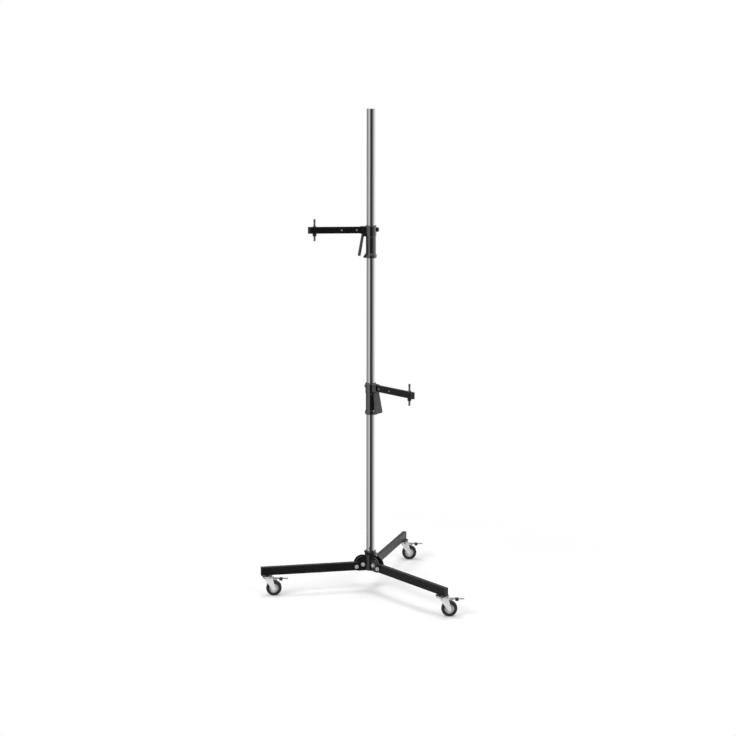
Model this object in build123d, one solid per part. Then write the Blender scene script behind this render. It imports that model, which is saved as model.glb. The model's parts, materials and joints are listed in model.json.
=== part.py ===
from build123d import *
import os
from math import atan2, cos, degrees, hypot, radians, sin

os.makedirs("parts", exist_ok=True)

# Rolling column stand for studio lights, in millimetres, standing on the floor.
# The origin is where the column's axis meets the floor. +Z is up, and +Y is along the rear leg.

# Overall sizes
stand_height = 2230.0        # floor to the top of the column
leg_reach = 518.0            # column axis to the outer end of a leg
leg_places = {"rear": 90.0, "left": 210.0, "right": 330.0}    # direction of each leg in degrees

# Column
column_radius = 20.0
column_wall = 2.0
column_chamfer = 0.5
plug_depth = 14.0            # plastic plug that closes the top of the column
plug_inset = 0.6             # how far the plug lies below the tube's rim

# Legs, tall rectangular tubes that fold up against the column
leg_width = 20.0
leg_height = 40.0
leg_corner = 3.0
leg_wall = 1.5
pivot_rise = 30.0            # pivot bolt above the leg's underside
lock_offset = 29.5           # lock bolt outward of the pivot bolt
knuckle_past_lock = 16.0     # lock bolt to the knuckle's end inside the tube
eye_neck = 1.7               # bare knuckle between its eye and the tube's end
end_cap_lip = 5.0
end_cap_plug = 20.0
end_cap_wall = 2.0
end_cap_round = 1.5
end_cap_inner_corner = 0.5
fold_angle = 90.0

# Hub, a casting with two cheeks for each leg
hub_wall = 8.0               # metal between the column and the barrel's outside
hub_height = 80.0
hub_floor = 4.0
neck_wall = 5.0
neck_height = 13.0
neck_round = 2.0
cheek_thickness = 5.0
cheek_rim = 3.0              # metal left outside the arc slot
slot_gap = 0.5               # arc slot to lock bolt, each side
lock_sides = {"rear": -1, "left": 1, "right": -1}     # side of each leg with the arc slot and lock bolt
lock_thread_past = 6.0       # lock bolt's end past the leg's middle, in the knuckle

# Bolts at the hub
pivot_bolt_radius = 5.0
pivot_head_across = 15.0
lock_bolt_radius = 4.0
lock_head_across = 13.0
bolt_head_height = 6.0
bolt_thread_inset = 2.0      # bolt's end inside its closed nut
closed_nut_end = 1.5
washer_thickness = 1.6
washer_radius = 9.5
lock_washer_radius = 9.5

# Wing screw that locks the column in the hub's neck
wing_direction = 280.0
wing_screw_radius = 4.0
wing_boss_radius = 6.5
wing_boss_length = 22.0
wing_boss_gap = 1.0          # neck to the boss when the screw is tight
wing_thickness = 4.5
wing_reach = 19.0            # screw axis to the centre of a wing's round tip, sideways
wing_lift = 14.0             # the same, upwards
wing_tip_radius = 4.5

# Swivel casters
wheel_radius = 36.0
tyre_width = 22.0
tyre_depth = 9.0
tyre_edge = 5.0
rim_width = 18.0
rim_web = 6.0
rim_bead_slope = 5.0         # width of the rim's bead with its slope to the web
rim_bead = 3.0               # width of the bead alone
boss_flare = 2.0             # how much the boss widens where it meets the web
wheel_boss_radius = 9.0
axle_radius = 4.0
axle_across = 12.0           # axle bolt's head and nut, across flats
axle_head = 4.0
caster_inset = 28.0          # swivel axis inward of the leg's outer end
caster_trail = 32.0          # swivel axis to the axle
caster_heading = 19.3        # direction in degrees to which the wheels trail
fork_rise = 49.5             # axle to the top face of the fork
fork_room = 2.0              # tyre to the fork, each side
fork_wall = 2.5
fork_corner = 5.0
fork_foot_radius = 9.0       # round end of the fork around the axle
fork_back = 17.0             # the fork's top behind the swivel axis
fork_front = 32.0            # the fork's top ahead of the swivel axis
race_radius = 15.0
race_height = 2.7
kingpin_radius = 4.5
kingpin_head_radius = 7.5
kingpin_head_height = 3.5
caster_plate_thickness = 2.5
mount_plate_thickness = 3.0
plate_length = 46.0
plate_width = 44.0
plate_corner = 4.0
plate_bolt_length_step = 15.0     # caster bolts either side of the swivel axis, along the leg
plate_bolt_width_step = 16.0      # the same, across the leg
plate_bolt_radius = 3.0
plate_bolt_across = 10.0
plate_bolt_head = 4.0
plate_bolt_past_nut = 1.5

# Caster brake
pedal_pin_ahead = 20.0       # pedal pin ahead of the swivel axis
pedal_pin_drop = 8.5         # pedal pin below the fork's top face
pedal_pin_radius = 2.5
rivet_head_radius = 3.7
rivet_head = 1.5
pedal_reach = 99.0           # swivel axis to the tip of the pedal
pedal_thickness = 2.0
pedal_tip_width = 16.0
pedal_tip_corner = 5.0
pedal_ear_radius = 4.5
pedal_travel = 8.0           # degrees that the pedal goes down
pedal_cap_start = 58.0
pedal_cap_length = 15.0
pedal_cap_wall = 1.5
pedal_cap_drop = 6.0         # pad's depth below the pedal
pedal_cap_narrow = 1.0       # pad's end inside the pedal's widest part, each side
pedal_full_past = 2.0        # full width of the pedal past the fork's front
pedal_cap_round = 2.0
shoe_start = 38.0            # tongue below the pedal that meets the tyre
shoe_length = 9.0
shoe_width = 16.0

# Sliding clamps, each with a level arm, a squeeze lever and a stud
clamp_places = {"upper": (1566.0, 205.0), "lower": (844.0, 332.0)}    # underside height, arm direction
collar_wall = 6.0            # metal outside the clamp's bore, at the collar
collar_band = 11.0           # upright band of the collar, below its cone
collar_height = 21.0
sleeve_wall = 2.0
sleeve_height = 78.0
head_wall = 4.0
head_height = 45.0
head_cone = 6.0              # cone between sleeve and head
rim_chamfer = 1.5
bush_wall = 0.8
bush_length = 20.0
bush_flange = 3.0            # flange outside the clamp's bore
bush_flange_thickness = 1.5
toe_past = 7.0               # tip of the toe past the collar
toe_top_inset = 1.0          # top of the toe below the collar's cone
toe_tip_height = 6.0
toe_width = 20.0
arm_reach = 285.0
arm_width = 17.0
arm_height = 30.0
arm_corner = 2.0
arm_wall = 2.0
arm_inner_corner = 0.3
arm_drop = 4.0               # top of the arm below the top of the clamp
arm_floor = 6.0              # metal between the clamp's bore and the arm's pocket
socket_depth = 20.0          # depth of the arm's pocket
socket_wall = 3.4
socket_round = 3.0
arm_cap_length = 12.0
arm_cap_plug = 10.0
arm_cap_round = 1.0
arm_bolt_places = (65.0, 133.0)     # bolts across the arm, out from the column's axis
arm_bolt_radius = 3.0
arm_bolt_head_radius = 5.0
arm_bolt_head = 2.4
arm_bolt_round = 1.4
lug_past = 5.0               # lug past the lever's pin
lug_width = 16.0
lug_height = 11.6

# Squeeze lever
lever_pin_past = 13.0        # lever pin out from the clamp's bore
lever_pin_drop = 7.5         # lever pin below the arm's underside
lever_pin_radius = 3.0
lever_pin_head_radius = 4.5
lever_pin_head = 1.5
lever_length = 96.0
lever_top = 1.0              # top of the lever's channel above its pin
lever_straight = 8.0         # straight sides below the pin, before the foot widens
lever_wall = 2.0
lever_depth = 10.0
lever_face = 8.5             # pin to the lever's outer face
lever_foot_width = 42.0
lever_foot_corner = 9.0
lever_ear_radius = 6.0
lever_tilt = 10.0            # degrees that the lever hangs outward at rest
spring_radius = 4.8
spring_bore = 3.4

# Stud for a lamp head
stud_reach = 255.0
stud_radius = 5.0
stud_above = 35.0            # top of the arm to the stud's upper end
stud_below = 34.0            # underside of the arm to the stud's lower end
stud_flange_radius = 8.5
stud_flange_height = 3.4
stud_chamfer = 0.8
stud_nut_radius = 9.0
stud_nut_height = 11.0
grip_notches = 12
grip_notch_radius = 1.0

# Tension knob
tension_drop = 17.5          # knob axis below the top of the clamp
tension_screw_radius = 4.0
tension_knob_radius = 10.5
tension_knob_length = 11.5
tension_knob_round = 6.0
tension_grip_length = 5.0    # notched band of the knob

# Fits
bore_gap = 0.05              # running and threaded fits, radial
slide_gap = 0.1              # bush on the column, and clamp on the bush
tube_gap = 0.1               # plugs inside tubes, each side
face_gap = 0.3               # flat faces that pass each other
cheek_gap = 0.5              # leg to cheek, each side
fold_gap = 1.5               # folded leg to the hub's barrel
eye_gap = 0.7                # leg eye to the hub's barrel

# Heights that follow, from the floor up
axle_z = wheel_radius
fork_top = axle_z + fork_rise
race_split = fork_top + race_height
caster_plate_bottom = race_split + face_gap + race_height + face_gap
mount_plate_bottom = caster_plate_bottom + caster_plate_thickness
leg_bottom = mount_plate_bottom + mount_plate_thickness
leg_middle = leg_bottom + leg_height / 2
leg_top = leg_bottom + leg_height
pivot_z = leg_bottom + pivot_rise
hub_top = leg_bottom + hub_height
neck_top = hub_top + neck_height
wing_z = hub_top + neck_height / 2

# Distances that follow, out from the column
hub_radius = column_radius + hub_wall
neck_radius = column_radius + neck_wall
pivot_reach = hub_radius + fold_gap + leg_top - pivot_z
eye_radius = pivot_reach - hub_radius - eye_gap
lock_reach = pivot_reach + lock_offset
lock_radius = hypot(lock_offset, leg_middle - pivot_z)
lock_angle = degrees(atan2(leg_middle - pivot_z, lock_offset))
leg_start = pivot_reach + eye_radius + eye_neck
knuckle_end = lock_reach + knuckle_past_lock
slot_half = lock_bolt_radius + slot_gap
cheek_radius = lock_radius + slot_half + cheek_rim
cheek_inner = leg_width / 2 + cheek_gap
cheek_outer = cheek_inner + cheek_thickness
caster_reach = leg_reach - caster_inset

# Caster sizes that follow
fork_inner = tyre_width / 2 + fork_room
fork_outer = fork_inner + fork_wall
pedal_pin_z = fork_top - pedal_pin_drop
pedal_half = fork_inner - face_gap

# Clamp sizes that follow, up from the clamp's underside
head_bottom = collar_height + sleeve_height
clamp_height = head_bottom + head_height
bush_outer = column_radius + slide_gap + bush_wall
clamp_bore = bush_outer + slide_gap
collar_radius = clamp_bore + collar_wall
sleeve_radius = clamp_bore + sleeve_wall
head_radius = clamp_bore + head_wall
bush_flange_radius = clamp_bore + bush_flange
toe_reach = collar_radius + toe_past
arm_start = clamp_bore + arm_floor
socket_reach = arm_start + socket_depth
lever_pin_reach = clamp_bore + lever_pin_past
lug_reach = lever_pin_reach + lug_past
arm_top = clamp_height - arm_drop
arm_bottom = arm_top - arm_height
arm_middle = arm_bottom + arm_height / 2
socket_half = arm_width / 2 + tube_gap + socket_wall
lever_pin_z = arm_bottom - lever_pin_drop
socket_bottom = lever_pin_z + spring_radius + face_gap
ear_inner = socket_half + face_gap
ear_outer = ear_inner + lever_wall
tension_z = clamp_height - tension_drop


# Shapes used by several pieces

def save(shape, name):
    export_step(shape, f"parts/{name}.step")


def rod_x(start, end, radius, y=0.0, z=0.0):
    return Pos((start + end) / 2, y, z) * Rot(0, 90, 0) * Cylinder(radius, abs(end - start))


def rod_y(start, end, radius, x=0.0, z=0.0):
    return Pos(x, (start + end) / 2, z) * Rot(90, 0, 0) * Cylinder(radius, abs(end - start))


def rod_z(start, end, radius, x=0.0, y=0.0):
    return Pos(x, y, (start + end) / 2) * Cylinder(radius, abs(end - start))


def block(x_range, y_range, z_range):
    spans = [x_range, y_range, z_range]
    middle = [(low + high) / 2 for low, high in spans]
    size = [high - low for low, high in spans]
    return Pos(*middle) * Box(*size)


def bar_x(start, end, width, height, corner, z):
    outline = RectangleRounded(width, height, corner)
    return extrude(Plane.YZ.offset(start) * Pos(0, z) * outline, amount=end - start)


def hex_y(start, end, across, x, z):
    outline = RegularPolygon(across / 2, 6, major_radius=False)
    prism = extrude(outline, amount=abs(end - start) / 2, both=True)
    return Pos(x, (start + end) / 2, z) * Rot(90, 0, 0) * prism


def hex_z(start, end, across, x, y):
    outline = RegularPolygon(across / 2, 6, major_radius=False)
    return Pos(x, y, start) * extrude(outline, amount=end - start)


def turned(direction):
    return Rot(0, 0, direction)


def spin_z(points):
    return revolve(Plane.XZ * Polygon(*points, align=None), axis=Axis.Z)


# Column and hub, one rigid body

def make_column():
    length = stand_height - leg_bottom - hub_floor
    tube = rod_z(leg_bottom + hub_floor, stand_height, column_radius)
    inside = Pos(0, 0, leg_bottom + hub_floor + length / 2) * Cylinder(column_radius - column_wall, length)
    return chamfer((tube - inside).edges().group_by(Axis.Z)[-1], column_chamfer)


def make_column_plug():
    top = stand_height - plug_inset
    return rod_z(top - plug_depth, top, column_radius - column_wall - tube_gap)


def make_cheeks(side):
    # Both cheeks hold the pivot bolt. Only the one on the lock bolt's side has the arc slot.
    disc = rod_y(-cheek_outer, cheek_outer, cheek_radius, pivot_reach, pivot_z)
    floor_cut = block((0, 2 * cheek_radius + pivot_reach), (-cheek_outer, cheek_outer), (0, leg_bottom))
    leg_room = block((hub_radius - 2, 2 * cheek_radius + pivot_reach), (-cheek_inner, cheek_inner),
                     (leg_bottom - 1, pivot_z + cheek_radius + 1))
    arc = CenterArc((pivot_reach, pivot_z), lock_radius, lock_angle, fold_angle)
    slot = extrude(Plane.XZ * SlotArc(arc, height=2 * slot_half), amount=-side * (cheek_outer + 1))
    pivot_hole = rod_y(-cheek_outer - 1, cheek_outer + 1, pivot_bolt_radius + bore_gap, pivot_reach, pivot_z)
    return disc - floor_cut - leg_room - slot - pivot_hole


def make_hub():
    barrel = rod_z(leg_bottom, hub_top, hub_radius) + rod_z(hub_top, neck_top, neck_radius)
    barrel = fillet(barrel.edges().group_by(Axis.Z)[-1], neck_round)
    for place, direction in leg_places.items():
        barrel += turned(direction) * make_cheeks(lock_sides[place])
    bore = rod_z(leg_bottom + hub_floor, neck_top + 1, column_radius + bore_gap)
    screw_hole = rod_x(0, neck_radius + 1, wing_screw_radius + bore_gap, z=wing_z)
    return barrel - bore - turned(wing_direction) * screw_hole


def make_bolt(side, offset, radius, washer, across, x, z, far_side):
    # A hexagon bolt across the leg with its washer. Its shank ends past the nut on the other side.
    washer_end = offset + washer_thickness
    bolt = rod_y(side * offset, side * washer_end, washer, x, z)
    bolt += hex_y(side * washer_end, side * (washer_end + bolt_head_height), across, x, z)
    return bolt + rod_y(side * offset, -side * far_side, radius, x, z)


def make_nut(side, offset, radius, washer, across, x, z):
    # A closed hexagon nut with its washer and a low domed end.
    washer_end = offset + washer_thickness
    nut_end = washer_end + bolt_head_height
    nut = rod_y(side * offset, side * washer_end, washer, x, z)
    nut += hex_y(side * washer_end, side * nut_end, across, x, z)
    shank_end = nut_end - closed_nut_end
    return nut - rod_y(side * (offset - 1), side * shank_end, radius + bore_gap, x, z)


def make_pivot_bolt():
    shank_end = cheek_outer + washer_thickness + bolt_head_height - bolt_thread_inset
    return make_bolt(1, cheek_outer, pivot_bolt_radius, washer_radius, pivot_head_across,
                     pivot_reach, pivot_z, shank_end)


def make_pivot_nut():
    return make_nut(-1, cheek_outer, pivot_bolt_radius, washer_radius, pivot_head_across,
                    pivot_reach, pivot_z)


def make_wing_screw():
    boss_start = neck_radius + wing_boss_gap
    boss_end = boss_start + wing_boss_length
    screw = rod_x(column_radius + face_gap, boss_start + wing_boss_gap, wing_screw_radius)
    screw += rod_x(boss_start, boss_end, wing_boss_radius)
    for side in (1, -1):
        root = Circle(wing_boss_radius - wing_boss_gap)
        tip = Pos(side * wing_reach, wing_lift) * Circle(wing_tip_radius)
        outline = make_hull((root + tip).edges())
        screw += extrude(Plane.YZ.offset(boss_end - wing_thickness) * outline, amount=wing_thickness)
    return Pos(0, 0, wing_z) * screw


# Legs, made along +X and turned to their places

def make_leg_tube(side):
    end = leg_reach - end_cap_lip
    tube = bar_x(leg_start, end, leg_width, leg_height, leg_corner, leg_middle)
    tube -= bar_x(leg_start - 1, end + 1, leg_width - 2 * leg_wall, leg_height - 2 * leg_wall,
                  leg_corner - leg_wall, leg_middle)
    plate = Pos(caster_reach, 0, mount_plate_bottom) * extrude(
        RectangleRounded(plate_length, plate_width, plate_corner), amount=mount_plate_thickness)
    tube += plate
    tube -= rod_y(0, side * leg_width, lock_bolt_radius + bore_gap, lock_reach, leg_middle)
    for x, y in plate_bolt_spots():
        tube -= rod_z(mount_plate_bottom - 1, leg_bottom + 1, plate_bolt_radius + bore_gap, x, y)
    return tube


def make_leg_knuckle(side):
    width = leg_width - 2 * leg_wall - 2 * tube_gap
    height = leg_height - 2 * leg_wall - 2 * tube_gap
    knuckle = bar_x(pivot_reach, knuckle_end, width, height, leg_corner - leg_wall, leg_middle)
    knuckle += rod_y(-cheek_inner + face_gap, cheek_inner - face_gap, eye_radius, pivot_reach, pivot_z)
    knuckle -= rod_y(-cheek_inner, cheek_inner, pivot_bolt_radius + bore_gap, pivot_reach, pivot_z)
    thread_end = -side * (lock_thread_past + face_gap)
    return knuckle - rod_y(thread_end, side * leg_width, lock_bolt_radius + bore_gap, lock_reach, leg_middle)


def make_leg_end_cap():
    lip_start = leg_reach - end_cap_lip
    width = leg_width - 2 * leg_wall - 2 * tube_gap
    height = leg_height - 2 * leg_wall - 2 * tube_gap
    lip = bar_x(lip_start, leg_reach, leg_width, leg_height, leg_corner, leg_middle)
    lip = fillet(lip.edges().group_by(Axis.X)[-1], end_cap_round)
    plug = bar_x(lip_start - end_cap_plug, lip_start, width, height, leg_corner - leg_wall, leg_middle)
    hollow = bar_x(lip_start - end_cap_plug, lip_start - end_cap_wall, width - 2 * end_cap_wall,
                   height - 2 * end_cap_wall, end_cap_inner_corner, leg_middle)
    return lip + (plug - hollow)


def plate_bolt_spots():
    spots = []
    for x_side in (-1, 1):
        for y_side in (-1, 1):
            spots.append((caster_reach + x_side * plate_bolt_length_step, y_side * plate_bolt_width_step))
    return spots


def make_leg_fasteners(side):
    # The lock bolt is screwed into the knuckle through the slot, and its washer bears on the cheek.
    pieces = [make_bolt(side, cheek_outer + face_gap, lock_bolt_radius, lock_washer_radius,
                        lock_head_across, lock_reach, leg_middle, lock_thread_past)]
    for x, y in plate_bolt_spots():
        head_top = leg_bottom + plate_bolt_head
        nut_bottom = caster_plate_bottom - plate_bolt_head
        bolt = hex_z(leg_bottom, head_top, plate_bolt_across, x, y)
        bolt += rod_z(nut_bottom - plate_bolt_past_nut, leg_bottom, plate_bolt_radius, x, y)
        nut = hex_z(nut_bottom, caster_plate_bottom, plate_bolt_across, x, y)
        nut -= rod_z(nut_bottom - 1, caster_plate_bottom + 1, plate_bolt_radius + bore_gap, x, y)
        pieces += [bolt, nut]
    return Compound(pieces)


def make_caster_plate():
    plate = Pos(caster_reach, 0, caster_plate_bottom) * extrude(
        RectangleRounded(plate_length, plate_width, plate_corner), amount=caster_plate_thickness)
    race_bottom = race_split + face_gap
    plate += rod_z(race_bottom, caster_plate_bottom, race_radius, caster_reach)
    head_top = fork_top - fork_wall - face_gap
    plate += rod_z(head_top, race_bottom, kingpin_radius, caster_reach)
    plate += rod_z(head_top - kingpin_head_height, head_top, kingpin_head_radius, caster_reach)
    for x, y in plate_bolt_spots():
        plate -= rod_z(caster_plate_bottom - 1, mount_plate_bottom + 1, plate_bolt_radius + bore_gap, x, y)
    return plate


# Casters, made at the origin with the swivel axis upright and the wheel trailing along +X

def make_fork():
    top = block((-fork_back, fork_front), (-fork_outer, fork_outer), (fork_top - fork_wall, fork_top))
    top = fillet(top.edges().filter_by(Axis.Z), fork_corner)
    race = rod_z(fork_top, race_split, race_radius)
    top_line = Line((-fork_back + fork_corner, fork_top), (fork_front - fork_corner, fork_top))
    foot = Pos(caster_trail, axle_z) * Circle(fork_foot_radius)
    side = make_hull([top_line, foot.edge()])
    fork = top + race
    for start in (-fork_outer, fork_inner):
        fork += extrude(Plane.XZ.offset(-start - fork_wall) * side, amount=fork_wall)
    fork -= rod_z(fork_top - fork_wall - 1, race_split + 1, kingpin_radius + bore_gap)
    fork -= rod_y(-fork_outer - 1, fork_outer + 1, axle_radius + bore_gap, caster_trail, axle_z)
    return fork - rod_y(-fork_outer - 1, fork_outer + 1, pedal_pin_radius + bore_gap,
                        pedal_pin_ahead, pedal_pin_z)


def make_fork_pins():
    # The axle bolt with its nut, and the riveted pin of the pedal.
    axle = rod_y(-fork_outer, fork_outer, axle_radius, caster_trail, axle_z)
    rivet = rod_y(-fork_outer, fork_outer, pedal_pin_radius, pedal_pin_ahead, pedal_pin_z)
    for side in (-1, 1):
        axle += hex_y(side * fork_outer, side * (fork_outer + axle_head), axle_across, caster_trail, axle_z)
        rivet += rod_y(side * fork_outer, side * (fork_outer + rivet_head), rivet_head_radius,
                       pedal_pin_ahead, pedal_pin_z)
    return Compound([axle, rivet])


def at_wheel(shape):
    return Pos(caster_trail, 0, axle_z) * Rot(90, 0, 0) * shape


def make_tyre():
    rim = wheel_radius - tyre_depth
    ring = Cylinder(wheel_radius, tyre_width) - Cylinder(rim, tyre_width + 1)
    outer = [edge for edge in ring.edges().filter_by(GeomType.CIRCLE) if edge.radius > rim + 1]
    return at_wheel(fillet(outer, tyre_edge))


def make_wheel_rim():
    rim = wheel_radius - tyre_depth
    boss_half = fork_inner - face_gap
    bore = axle_radius + bore_gap
    half = [
        (bore, boss_half), (wheel_boss_radius, boss_half), (wheel_boss_radius + boss_flare, rim_web / 2),
        (rim - rim_bead_slope, rim_web / 2), (rim - rim_bead, rim_width / 2), (rim, rim_width / 2),
    ]
    other = [(r, -z) for r, z in reversed(half)]
    return at_wheel(spin_z(half + other))


def make_brake_pedal():
    # A pressed plate on a pin across the fork, with a tongue above the tyre.
    plate_bottom = pedal_pin_z + pedal_ear_radius - pedal_thickness
    plate_top = plate_bottom + pedal_thickness
    root = pedal_pin_ahead
    full = fork_front + pedal_full_past
    narrow = pedal_cap_start + pedal_cap_length
    outline = Polygon(
        (root, -pedal_half), (full, -pedal_half), (narrow, -pedal_tip_width / 2),
        (pedal_reach, -pedal_tip_width / 2), (pedal_reach, pedal_tip_width / 2),
        (narrow, pedal_tip_width / 2), (full, pedal_half), (root, pedal_half), align=None)
    pedal = Pos(0, 0, plate_bottom) * extrude(outline, amount=pedal_thickness)
    pedal = fillet(pedal.edges().filter_by(Axis.Z).group_by(Axis.X)[-1], pedal_tip_corner)
    pedal += rod_y(-pedal_half, pedal_half, pedal_ear_radius, pedal_pin_ahead, pedal_pin_z)
    shoe_end = shoe_start + shoe_length
    drop = (shoe_end - pedal_pin_ahead) * sin(radians(pedal_travel))
    tyre_height = axle_z + (wheel_radius ** 2 - (shoe_start - caster_trail) ** 2) ** 0.5
    shoe_bottom = tyre_height + drop + face_gap
    pedal += block((shoe_start, shoe_end), (-shoe_width / 2, shoe_width / 2), (shoe_bottom, plate_top))
    return pedal - rod_y(-fork_outer, fork_outer, pedal_pin_radius + bore_gap, pedal_pin_ahead, pedal_pin_z)


def make_pedal_cap():
    # The plastic foot pad is pushed over the pedal like a sleeve and hangs below it.
    plate_top = pedal_pin_z + pedal_ear_radius
    half = pedal_half - pedal_cap_narrow
    cap = block((pedal_cap_start, pedal_cap_start + pedal_cap_length), (-half, half),
                (plate_top - pedal_thickness - pedal_cap_drop, plate_top + pedal_cap_wall))
    cap = fillet(cap.edges().filter_by(Axis.Y), pedal_cap_round)
    return cap - make_brake_pedal()


# Clamps, made with the column's axis at the origin, the underside at zero and the arm along +X

def make_bushes():
    bore = column_radius + slide_gap
    gap = face_gap - slide_gap
    lower = rod_z(-gap - bush_flange_thickness, -gap, bush_flange_radius)
    lower += rod_z(-gap, bush_length, bush_outer)
    lower -= rod_z(-bush_length, 2 * bush_length, bore)
    upper = Pos(0, 0, clamp_height) * Rot(180, 0, 0) * lower
    return Compound([lower, upper])


def make_housing():
    body = spin_z([
        (0, 0), (collar_radius - rim_chamfer, 0), (collar_radius, rim_chamfer), (collar_radius, collar_band),
        (sleeve_radius, collar_height), (sleeve_radius, head_bottom - head_cone), (head_radius, head_bottom),
        (head_radius, clamp_height - rim_chamfer), (head_radius - rim_chamfer, clamp_height), (0, clamp_height),
    ])
    toe_top = collar_height - toe_top_inset
    toe = Polygon((0, 0), (toe_reach, 0), (toe_reach, toe_tip_height), (sleeve_radius, toe_top),
                  (0, toe_top), align=None)
    body += extrude(Plane.XZ * toe, amount=toe_width / 2, both=True)
    lug_bottom = socket_bottom - lug_height
    body += block((0, lug_reach), (-lug_width / 2, lug_width / 2), (lug_bottom, socket_bottom))
    socket = block((0, socket_reach), (-socket_half, socket_half), (socket_bottom, clamp_height - rim_chamfer))
    body += fillet(socket.edges().filter_by(Axis.X).group_by(Axis.Z)[-1], socket_round)
    body -= rod_z(-1, clamp_height + 1, clamp_bore)
    body -= block((arm_start, socket_reach + 1), (-arm_width / 2 - tube_gap, arm_width / 2 + tube_gap),
                  (arm_bottom - tube_gap, arm_top + tube_gap))
    body -= rod_y(-socket_half, socket_half, lever_pin_radius + bore_gap, lever_pin_reach, lever_pin_z)
    return body - rod_x(-head_radius - 1, 0, tension_screw_radius + bore_gap, z=tension_z)


def make_arm():
    start = arm_start + tube_gap
    end = arm_reach - arm_cap_length
    tube = bar_x(start, end, arm_width, arm_height, arm_corner, arm_middle)
    tube -= bar_x(start - 1, end + 1, arm_width - 2 * arm_wall, arm_height - 2 * arm_wall,
                  arm_inner_corner, arm_middle)
    for x in arm_bolt_places:
        tube -= rod_y(-arm_width, arm_width, arm_bolt_radius + bore_gap, x, arm_middle)
    return tube - rod_z(arm_bottom - 1, arm_top + 1, stud_radius + bore_gap, stud_reach)


def make_arm_cap():
    # A plug with a half-round nose of the arm's full width.
    cap_start = arm_reach - arm_cap_length
    nose_radius = arm_width / 2 - tube_gap
    width = arm_width - 2 * arm_wall - 2 * tube_gap
    height = arm_height - 2 * arm_wall - 2 * tube_gap
    nose = block((cap_start, arm_reach), (-arm_width / 2, arm_width / 2), (arm_bottom, arm_top))
    nose = fillet(nose.edges().filter_by(Axis.Z).group_by(Axis.X)[-1], nose_radius)
    nose = fillet(nose.edges().group_by(Axis.Z)[-1].group_by(Axis.X)[-1], arm_cap_round)
    plug = block((cap_start - arm_cap_plug, cap_start), (-width / 2, width / 2),
                 (arm_middle - height / 2, arm_middle + height / 2))
    return nose + plug - rod_z(arm_bottom - 1, arm_top + 1, stud_radius + face_gap, stud_reach)


def make_arm_bolts():
    # Two round-headed bolts across the arm, each with a round closed nut like its head.
    bolts = []
    half = arm_width / 2
    for x in arm_bolt_places:
        bolt = rod_y(-half, half, arm_bolt_radius, x, arm_middle)
        for side in (-1, 1):
            head = Pos(x, side * half, arm_middle) * Rot(-side * 90, 0, 0) * Cylinder(
                arm_bolt_head_radius, arm_bolt_head, align=(Align.CENTER, Align.CENTER, Align.MIN))
            rim = head.edges().filter_by(GeomType.CIRCLE).sort_by(Axis.Y)[-1 if side > 0 else 0]
            bolt += fillet(rim, arm_bolt_round)
        bolts.append(bolt)
    return Compound(bolts)


def make_lever():
    # A pressed channel, made hanging straight down from its pin and then tilted outward.
    straight_end = -lever_straight
    half_top = ear_outer
    half_foot = lever_foot_width / 2

    def tray(inset, above, x_range):
        outline = Polygon(
            (-half_top + inset, lever_top + above), (-half_top + inset, straight_end),
            (-half_foot + inset, -lever_length + inset), (half_foot - inset, -lever_length + inset),
            (half_top - inset, straight_end), (half_top - inset, lever_top + above), align=None)
        solid = extrude(Plane.YZ.offset(x_range[0]) * outline, amount=x_range[1] - x_range[0])
        return fillet(solid.edges().filter_by(Axis.X).group_by(Axis.Z)[0], lever_foot_corner - inset)

    back = lever_face - lever_depth
    lever = tray(0, 0, (back, lever_face))
    for side in (-1, 1):
        lever += rod_y(side * ear_inner, side * ear_outer, lever_ear_radius)
    lever -= tray(lever_wall, lever_wall, (back - 1, lever_face - lever_wall))
    lever -= rod_y(-ear_outer - 1, ear_outer + 1, lever_pin_radius + bore_gap)
    return Pos(lever_pin_reach, 0, lever_pin_z) * Rot(0, -lever_tilt, 0) * lever


def make_lever_pin():
    head_start = ear_outer + face_gap
    pin = rod_y(-head_start, head_start, lever_pin_radius, lever_pin_reach, lever_pin_z)
    for side in (-1, 1):
        pin += rod_y(side * head_start, side * (head_start + lever_pin_head), lever_pin_head_radius,
                     lever_pin_reach, lever_pin_z)
    return pin


def make_lever_springs():
    # One torsion spring each side of the lug, drawn as the plain sleeve that its coils fill.
    springs = []
    for side in (-1, 1):
        start = side * (lug_width / 2 + slide_gap)
        end = side * (ear_inner - face_gap)
        coil = rod_y(start, end, spring_radius, lever_pin_reach, lever_pin_z)
        springs.append(coil - rod_y(-ear_inner, ear_inner, spring_bore, lever_pin_reach, lever_pin_z))
    return Compound(springs)


def make_stud():
    stud = rod_z(arm_bottom - stud_below, arm_top + stud_above, stud_radius, stud_reach)
    stud += rod_z(arm_top, arm_top + stud_flange_height, stud_flange_radius, stud_reach)
    return chamfer(stud.edges().group_by(Axis.Z)[-1] + stud.edges().group_by(Axis.Z)[0], stud_chamfer)


def grip_ring(radius, start, end):
    ring = rod_z(start, end, radius)
    for index in range(grip_notches):
        angle = radians(360.0 * index / grip_notches)
        ring -= rod_z(start - 1, end + 1, grip_notch_radius, radius * cos(angle), radius * sin(angle))
    return ring


def make_stud_nut():
    top = arm_bottom - face_gap
    nut = grip_ring(stud_nut_radius, top - stud_nut_height, top)
    nut -= rod_z(top - stud_nut_height - 1, top + 1, stud_radius + bore_gap)
    return Pos(stud_reach, 0, 0) * nut


def make_tension_knob():
    start = head_radius + face_gap
    knob = rod_z(start, start + tension_knob_length, tension_knob_radius)
    knob = fillet(knob.edges().group_by(Axis.Z)[-1], tension_knob_round)
    for index in range(grip_notches):
        angle = radians(360.0 * index / grip_notches)
        knob -= rod_z(start - 1, start + tension_grip_length, grip_notch_radius,
                      tension_knob_radius * cos(angle), tension_knob_radius * sin(angle))
    knob += rod_z(bush_outer + face_gap, start + 1, tension_screw_radius)
    return Pos(0, 0, tension_z) * Rot(0, -90, 0) * knob


# Write the column and hub

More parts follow.
